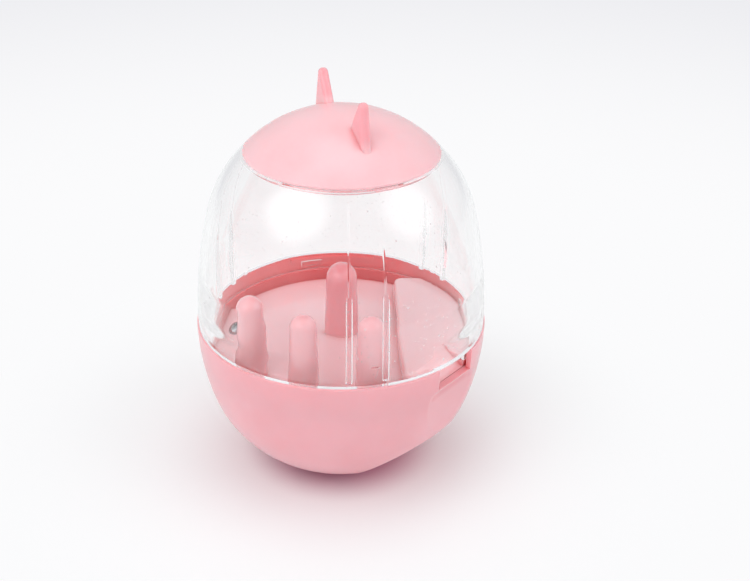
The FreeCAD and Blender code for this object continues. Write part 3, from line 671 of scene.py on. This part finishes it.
class Maker(Graph):
    def __init__(self, name, sizes):
        tree = bpy.data.node_groups.new(name, "GeometryNodeTree")
        super().__init__(tree)
        face = tree.interface
        face.new_socket("Seats", in_out="INPUT", socket_type="NodeSocketGeometry")
        for size in sizes:
            face.new_socket(size, in_out="INPUT", socket_type="NodeSocketFloat")
        face.new_socket("Finish", in_out="INPUT", socket_type="NodeSocketMaterial")
        face.new_socket("Geometry", in_out="OUTPUT", socket_type="NodeSocketGeometry")
        self.inputs = tree.nodes.new("NodeGroupInput")

    def given(self, name):
        return Wire(self, self.inputs.outputs[name])

    def point(self, x=0.0, y=0.0, z=0.0):
        return self.add("ShaderNodeCombineXYZ", None, {"X": x, "Y": y, "Z": z})

    def moved(self, mesh, place=(0, 0, 0), turn=(0, 0, 0), scale=(1, 1, 1)):
        inputs = {"Geometry": mesh, "Translation": place, "Rotation": turn, "Scale": scale}
        return self.add("GeometryNodeTransform", None, inputs)

    # A closed turned shape: profile gives radius and height from 0 to 1 along it and round it
    def turned(self, values, profile, weld=1e-7):
        mesh = self.add("GeometryNodeMeshGrid", None, {
            "Size X": 1.0, "Size Y": 1.0,
            "Vertices X": values["around"], "Vertices Y": values["along"]})
        spot = self.add("GeometryNodeInputPosition")
        across = self.add("ShaderNodeSeparateXYZ", None, {"Vector": spot}, output="X") + 0.5
        up = self.add("ShaderNodeSeparateXYZ", None, {"Vector": spot}, output="Y") + 0.5
        radius, height = profile(up, across)
        angle = across * math.tau
        place = self.point(radius * angle.calc("COSINE"), radius * angle.calc("SINE"), height)
        mesh = self.add("GeometryNodeSetPosition", None, {"Geometry": mesh, "Position": place})
        return self.add("GeometryNodeMergeByDistance", None, {"Geometry": mesh, "Distance": weld})


def makeScrewTree(values):
    tree = Maker("screwMaker", values["sizes"])
    given = tree.given
    headShape, shankShape, armShape = values["head"], values["shank"], values["arm"]
    flat, domed = headShape["flat"], 1 - headShape["flat"]

    def panHead(up, across):  # flat underside, then a rounded crown
        under = (up * (1 / flat)).calc("MINIMUM", 1.0)
        rise = up * (1 / domed) - flat / domed
        angle = rise.calc("MAXIMUM", 0.0) * (math.pi / 2)
        radius = under * angle.calc("COSINE").calc("MAXIMUM", 0.0) ** headShape["side"]
        height = angle.calc("SINE") ** headShape["crown"] * given("Head Height")
        return radius * given("Head Radius"), height

    def threadedShank(up, across):  # point, then a helical ridge, closed inside the head
        height = (up - 1) * given("Shank Length") + given("Head Height") * shankShape["inHead"]
        wave = ((height / given("Thread Pitch") - across) * math.tau).calc("COSINE") * 0.5 + 0.5
        core = given("Shank Radius") - given("Thread Depth") * (1 - wave ** 2)
        point = (up * shankShape["point"]).calc("MINIMUM", 1.0)
        end = ((1 - up) * shankShape["end"]).calc("MINIMUM", 1.0)
        return core * point * end, height

    head = tree.turned(headShape, panHead)
    shank = tree.turned(shankShape, threadedShank)
    arm = tree.add("GeometryNodeMeshCone", None, {
        "Vertices": armShape["sides"], "Radius Top": armShape["high"],
        "Radius Bottom": armShape["low"], "Depth": 1.0}, output="Mesh")
    arm = tree.moved(arm, turn=(0, 0, math.pi / 4))
    foot = tree.point(0.0, 0.0, given("Head Height") - given("Recess Depth"))
    depth = given("Recess Depth") * armShape["deeper"]
    length, width = given("Recess Length"), given("Recess Width")
    arms = [
        tree.moved(arm, foot, scale=tree.point(length, width, depth)),
        tree.moved(arm, foot, scale=tree.point(width, length, depth)),
    ]
    head = tree.add("GeometryNodeMeshBoolean", {"operation": "DIFFERENCE"},
                    {"Mesh 1": head, "Mesh 2": arms})
    whole = tree.add("GeometryNodeJoinGeometry", None, {"Geometry": [head, shank]})
    turn = tree.add("GeometryNodeInputIndex") * values["turn"]["each"] + values["turn"]["first"]
    screws = tree.add("GeometryNodeInstanceOnPoints", None, {
        "Points": given("Seats"), "Instance": whole, "Rotation": tree.point(z=turn)})
    real = tree.add("GeometryNodeRealizeInstances", None, {"Geometry": screws})
    done = tree.add("GeometryNodeSetMaterial", None, {
        "Geometry": real, "Material": given("Finish")})
    tree.add("NodeGroupOutput", None, {"Geometry": done})
    return tree.tree


def makeScrews(name, node, values, sites, tree, finish):
    seats = bpy.data.meshes.new(name + "Seats")
    reach, turns = sites["reach"], [math.radians(bearing) for bearing in sites["bearings"]]
    seats.from_pydata([(reach * math.sin(turn), -reach * math.cos(turn), sites["seat"])
                       for turn in turns], [], [])
    piece = bpy.data.objects.new(name, seats)
    scene.collection.objects.link(piece)
    modifier = piece.modifiers.new("screws", "NODES")
    modifier.node_group = tree
    wanted = {**values["sizes"], "Finish": finish}
    for socket in tree.interface.items_tree:
        if socket.name in wanted:
            modifier[socket.identifier] = wanted[socket.name]
    shaped = piece.evaluated_get(bpy.context.evaluated_depsgraph_get())
    mesh = bpy.data.meshes.new_from_object(shaped)
    mesh.name = name
    piece.modifiers.clear()
    piece.data = mesh
    form = bmesh.new()
    form.from_mesh(mesh)
    closeMesh(form, mesh, values["sharp"])
    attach(piece, "base")
    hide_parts(node)
    print(name, "has", len(mesh.polygons), "faces")


screwTree = makeScrewTree(screw)
makeScrews("trayScrews", "tray_screws", screw, screw["tray"], screwTree, screwFinish)
makeScrews("coverScrews", "cover_screws", screw, screw["cover"], screwTree, screwFinish)
print("screws made")


# Studio: pale floor, white surroundings and large soft boxes with fading edges

studio = {
    "floorRadius": 3.0,
    "floorSides": 96,
    "floorColour": (246, 249, 250),
    "footShadow": (184, 104, 144),
    "footShadowReach": (0.011, 0.034),
    "farFloor": (0.03, 0.13),
    "farFloorLight": (0.965, 0.965, 0.975),
    "horizonReach": (0.22, 0.80),
    "horizon": (0.84, 0.84, 0.87),
    "surround": 0.60,
    "aim": (0, 0, 0.06),
    "boxCentre": 0.4,
    "leftBox": {"place": (-0.75, 0.15, 0.75), "size": 1.35, "light": 1.65, "mirrored": True},
    "rightBox": {"place": (0.35, -0.85, 0.70), "size": 1.25, "light": 1.35, "mirrored": True},
    "topBox": {"place": (0.1, 0.1, 1.2), "size": 1.2, "light": 1.25, "mirrored": True},
    "lowLeft": {"place": (-0.90, 0.10, 0.14), "size": 0.9, "light": 0.45, "mirrored": False},
    "lowRight": {"place": (0.30, -0.90, 0.14), "size": 0.9, "light": 0.45, "mirrored": False},
}


def seenByCamera(graph):  # straight, or through the clear plastic
    straight = graph.add("ShaderNodeLightPath", output="Is Camera Ray")
    through = graph.add("ShaderNodeLightPath", output="Is Transmission Ray")
    return straight.calc("MAXIMUM", through)


def makeFloor(values):  # matt near the toy with a painted shadow round its foot, and its own even light further away
    mesh = bpy.data.meshes.new("floor")
    form = bmesh.new()
    bmesh.ops.create_circle(form, cap_ends=True, segments=values["floorSides"],
                            radius=values["floorRadius"])
    form.to_mesh(mesh)
    form.free()
    floor = bpy.data.objects.new("floor", mesh)
    scene.collection.objects.link(floor)
    graph = Finish("paleFloor")
    away = graph.fromOrigin()
    # painted shadow: the floor colour turns dark mauve close round the toy's foot
    colour = graph.blend(away.between(*values["footShadowReach"]),
                         fromScreen(values["footShadow"]), fromScreen(values["floorColour"]))
    near = graph.add("ShaderNodeBsdfDiffuse", None, {"Color": colour})
    shade = graph.blend(away.between(*values["horizonReach"]), values["farFloorLight"],
                        values["horizon"])
    far = graph.add("ShaderNodeEmission", None, {"Color": shade})
    share = seenByCamera(graph) * away.between(*values["farFloor"])
    mesh.materials.append(graph.finish(graph.layer(share, near, far)))


def makeSurround(values):
    world = bpy.data.worlds.new("surround")
    scene.world = world
    world.use_nodes = True
    graph = Graph(world.node_tree)
    light = graph.add("ShaderNodeBackground", None, {
        "Color": (1, 1, 1, 1), "Strength": values["surround"]})
    back = graph.add("ShaderNodeBackground", None, {"Color": (*values["horizon"], 1)})
    both = graph.add("ShaderNodeMixShader", None, {0: seenByCamera(graph), 1: light, 2: back})
    graph.add("ShaderNodeOutputWorld", None, {"Surface": both})


def makeSoftBox(name, values, aim, centre):
    half = values["size"] / 2
    place = Vector(values["place"])
    mesh = bpy.data.meshes.new(name)
    corners = [(-half, -half, 0), (-half, half, 0), (half, half, 0), (half, -half, 0)]
    mesh.from_pydata(corners, [], [(0, 1, 2, 3)])
    box = bpy.data.objects.new(name, mesh)
    box.rotation_mode = "QUATERNION"
    box.location = place
    box.rotation_quaternion = (Vector(aim) - place).to_track_quat("-Z", "Y")
    box.visible_camera = False
    box.visible_glossy = values["mirrored"]
    scene.collection.objects.link(box)
    graph = Finish(name + "Light")
    fade = graph.fromOrigin().between(half, half * centre)
    light = graph.add("ShaderNodeEmission", None, {
        "Color": (1, 1, 1, 1), "Strength": fade * values["light"]})
    air = graph.add("ShaderNodeBsdfTransparent")
    both = graph.add("ShaderNodeAddShader", None, {0: air, 1: light})
    mesh.materials.append(graph.finish(both))


makeFloor(studio)
makeSurround(studio)
for box in ("leftBox", "rightBox", "topBox", "lowLeft", "lowRight"):
    makeSoftBox(box, studio[box], studio["aim"], studio["boxCentre"])
print("studio set")
